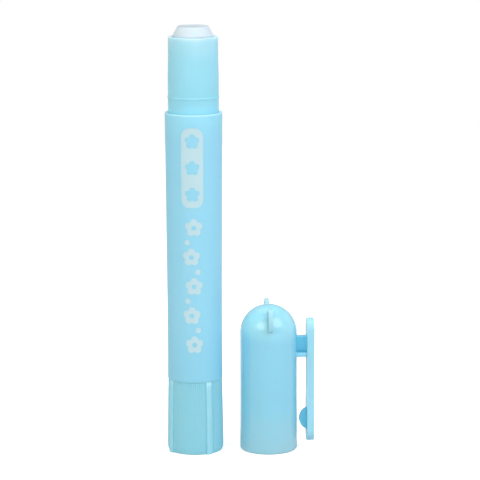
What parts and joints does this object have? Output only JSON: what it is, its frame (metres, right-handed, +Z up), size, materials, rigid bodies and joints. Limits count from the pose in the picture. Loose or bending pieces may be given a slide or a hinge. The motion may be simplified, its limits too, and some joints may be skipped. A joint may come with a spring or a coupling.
{
  "type": "glue stick",
  "caption": "Slim twist-up glue stick with a fluted turning knob and a lead screw that feeds the glue, its domed cap with a pocket clip standing beside it.",
  "frame": {"origin": "centre of the knob's flat base, on the stick's axis", "axes": "+Z up along the stick from the knob to the glue, +X from the stick towards the cap and its clip, -Y towards the front"},
  "size_m": [0.0416, 0.0204, 0.12],
  "materials": {
    "barrel_plastic": "satin",
    "neck_plastic": "satin",
    "knob_plastic": "satin",
    "cap_plastic": "gloss",
    "inner_plastic": "satin",
    "glue": "waxy"
  },
  "bodies": {
    "holder": {"barrel": "barrel_plastic", "neck_sleeve": "neck_plastic", "screw_bush": "inner_plastic"},
    "knob": {"twist_knob": "knob_plastic", "feed_screw": "inner_plastic"},
    "lift": {"glue_carrier": "inner_plastic", "glue": "glue"},
    "cap": {"cap": "cap_plastic"}
  },
  "joints": [
    {"name": "knob_turn", "type": "hinge", "parent": "holder", "child": "knob", "pos_m": [0, 0, 0.0254], "axis": [0, 0, -1], "range_deg": [-576, 4104]},
    {"name": "glue_feed", "type": "slide", "parent": "holder", "child": "lift", "axis": [0, 0, 1], "range_m": [-0.008, 0.057]},
    {"name": "cap_lift", "type": "slide", "parent": "holder", "child": "cap", "axis": [0, 0, 1], "range_m": [0, 0.125]}
  ],
  "couplings": [
    {"joint": "glue_feed", "follows": "knob_turn", "m_per_rad": 0.00079577}
  ]
}
